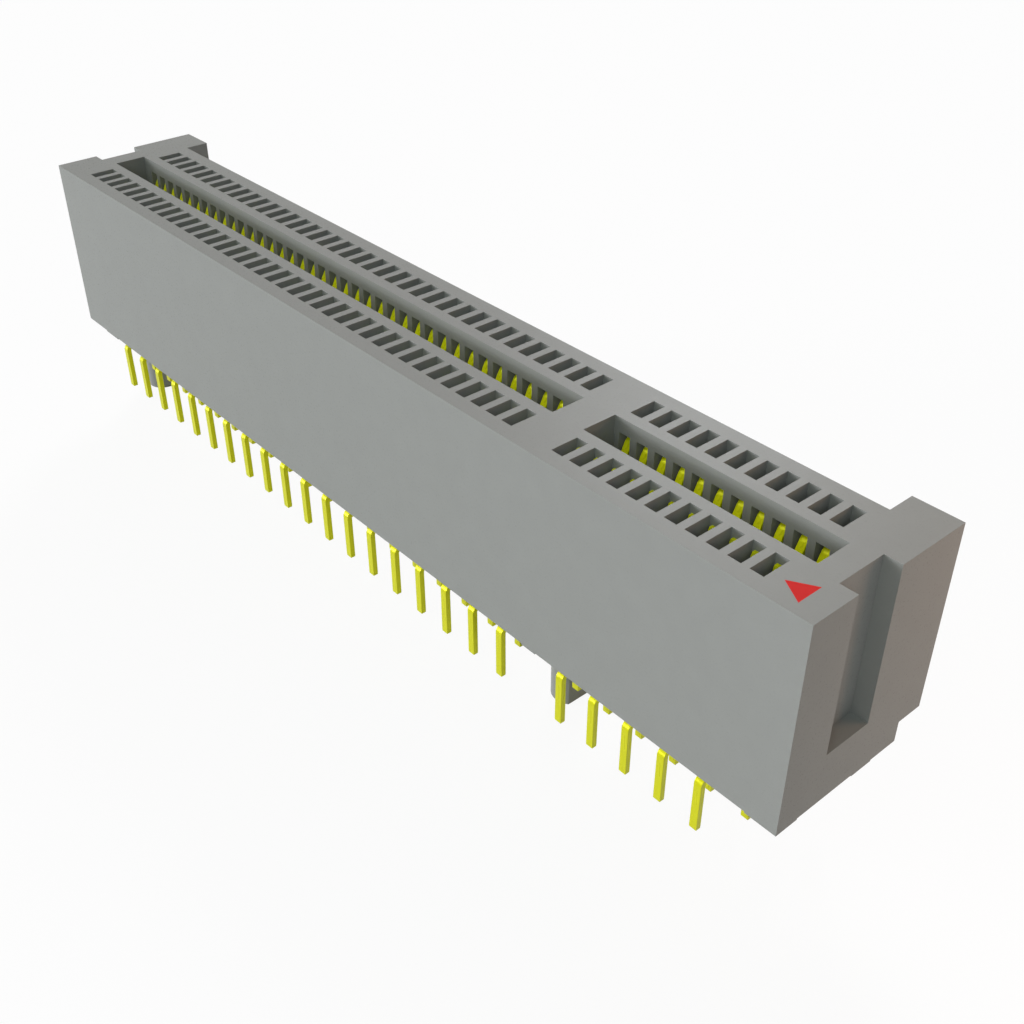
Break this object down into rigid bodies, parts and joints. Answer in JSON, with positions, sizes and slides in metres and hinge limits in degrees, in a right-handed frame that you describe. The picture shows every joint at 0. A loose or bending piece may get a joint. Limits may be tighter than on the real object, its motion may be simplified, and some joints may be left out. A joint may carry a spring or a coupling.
{
  "type": "card edge connector",
  "caption": "Vertical card edge connector: moulded housing with a keyed card slot, rows of spring contacts on both sides, locating pegs and staggered solder tails.",
  "frame": {"origin": "on the board surface that the stand-off pads seat on, midway along the housing, on the middle plane of the card slot", "axes": "+X along the slot towards the end with the pin one mark, +Y towards the side with the ears, +Z away from the board, towards the card"},
  "size_m": [0.056, 0.0087, 0.0154],
  "materials": {
    "housing_plastic": "matte grey moulding",
    "contact_gold": "gold plated copper alloy, satin",
    "mark_paint": "matte red mark"
  },
  "bodies": {
    "root": {"housing": "housing_plastic", "pin_one_mark": "mark_paint", "contact_pair_01": "contact_gold", "contact_pair_02": "contact_gold", "contact_pair_03": "contact_gold", "contact_pair_04": "contact_gold", "contact_pair_05": "contact_gold", "contact_pair_06": "contact_gold", "contact_pair_07": "contact_gold", "contact_pair_08": "contact_gold", "contact_pair_09": "contact_gold", "contact_pair_10": "contact_gold", "contact_pair_11": "contact_gold", "contact_pair_12": "contact_gold", "contact_pair_13": "contact_gold", "contact_pair_14": "contact_gold", "contact_pair_15": "contact_gold", "contact_pair_16": "contact_gold", "contact_pair_17": "contact_gold", "contact_pair_18": "contact_gold", "contact_pair_19": "contact_gold", "contact_pair_20": "contact_gold", "contact_pair_21": "contact_gold", "contact_pair_22": "contact_gold", "contact_pair_23": "contact_gold", "contact_pair_24": "contact_gold", "contact_pair_25": "contact_gold", "contact_pair_26": "contact_gold", "contact_pair_27": "contact_gold", "contact_pair_28": "contact_gold", "contact_pair_29": "contact_gold", "contact_pair_30": "contact_gold", "contact_pair_31": "contact_gold", "contact_pair_32": "contact_gold", "contact_pair_33": "contact_gold", "contact_pair_34": "contact_gold", "contact_pair_35": "contact_gold", "contact_pair_36": "contact_gold", "contact_pair_37": "contact_gold", "contact_pair_38": "contact_gold", "contact_pair_39": "contact_gold", "contact_pair_40": "contact_gold", "contact_pair_41": "contact_gold", "contact_pair_42": "contact_gold", "contact_pair_43": "contact_gold", "contact_pair_44": "contact_gold", "contact_pair_45": "contact_gold", "contact_pair_46": "contact_gold", "contact_pair_47": "contact_gold", "contact_pair_48": "contact_gold", "contact_pair_49": "contact_gold"}
  },
  "joints": []
}
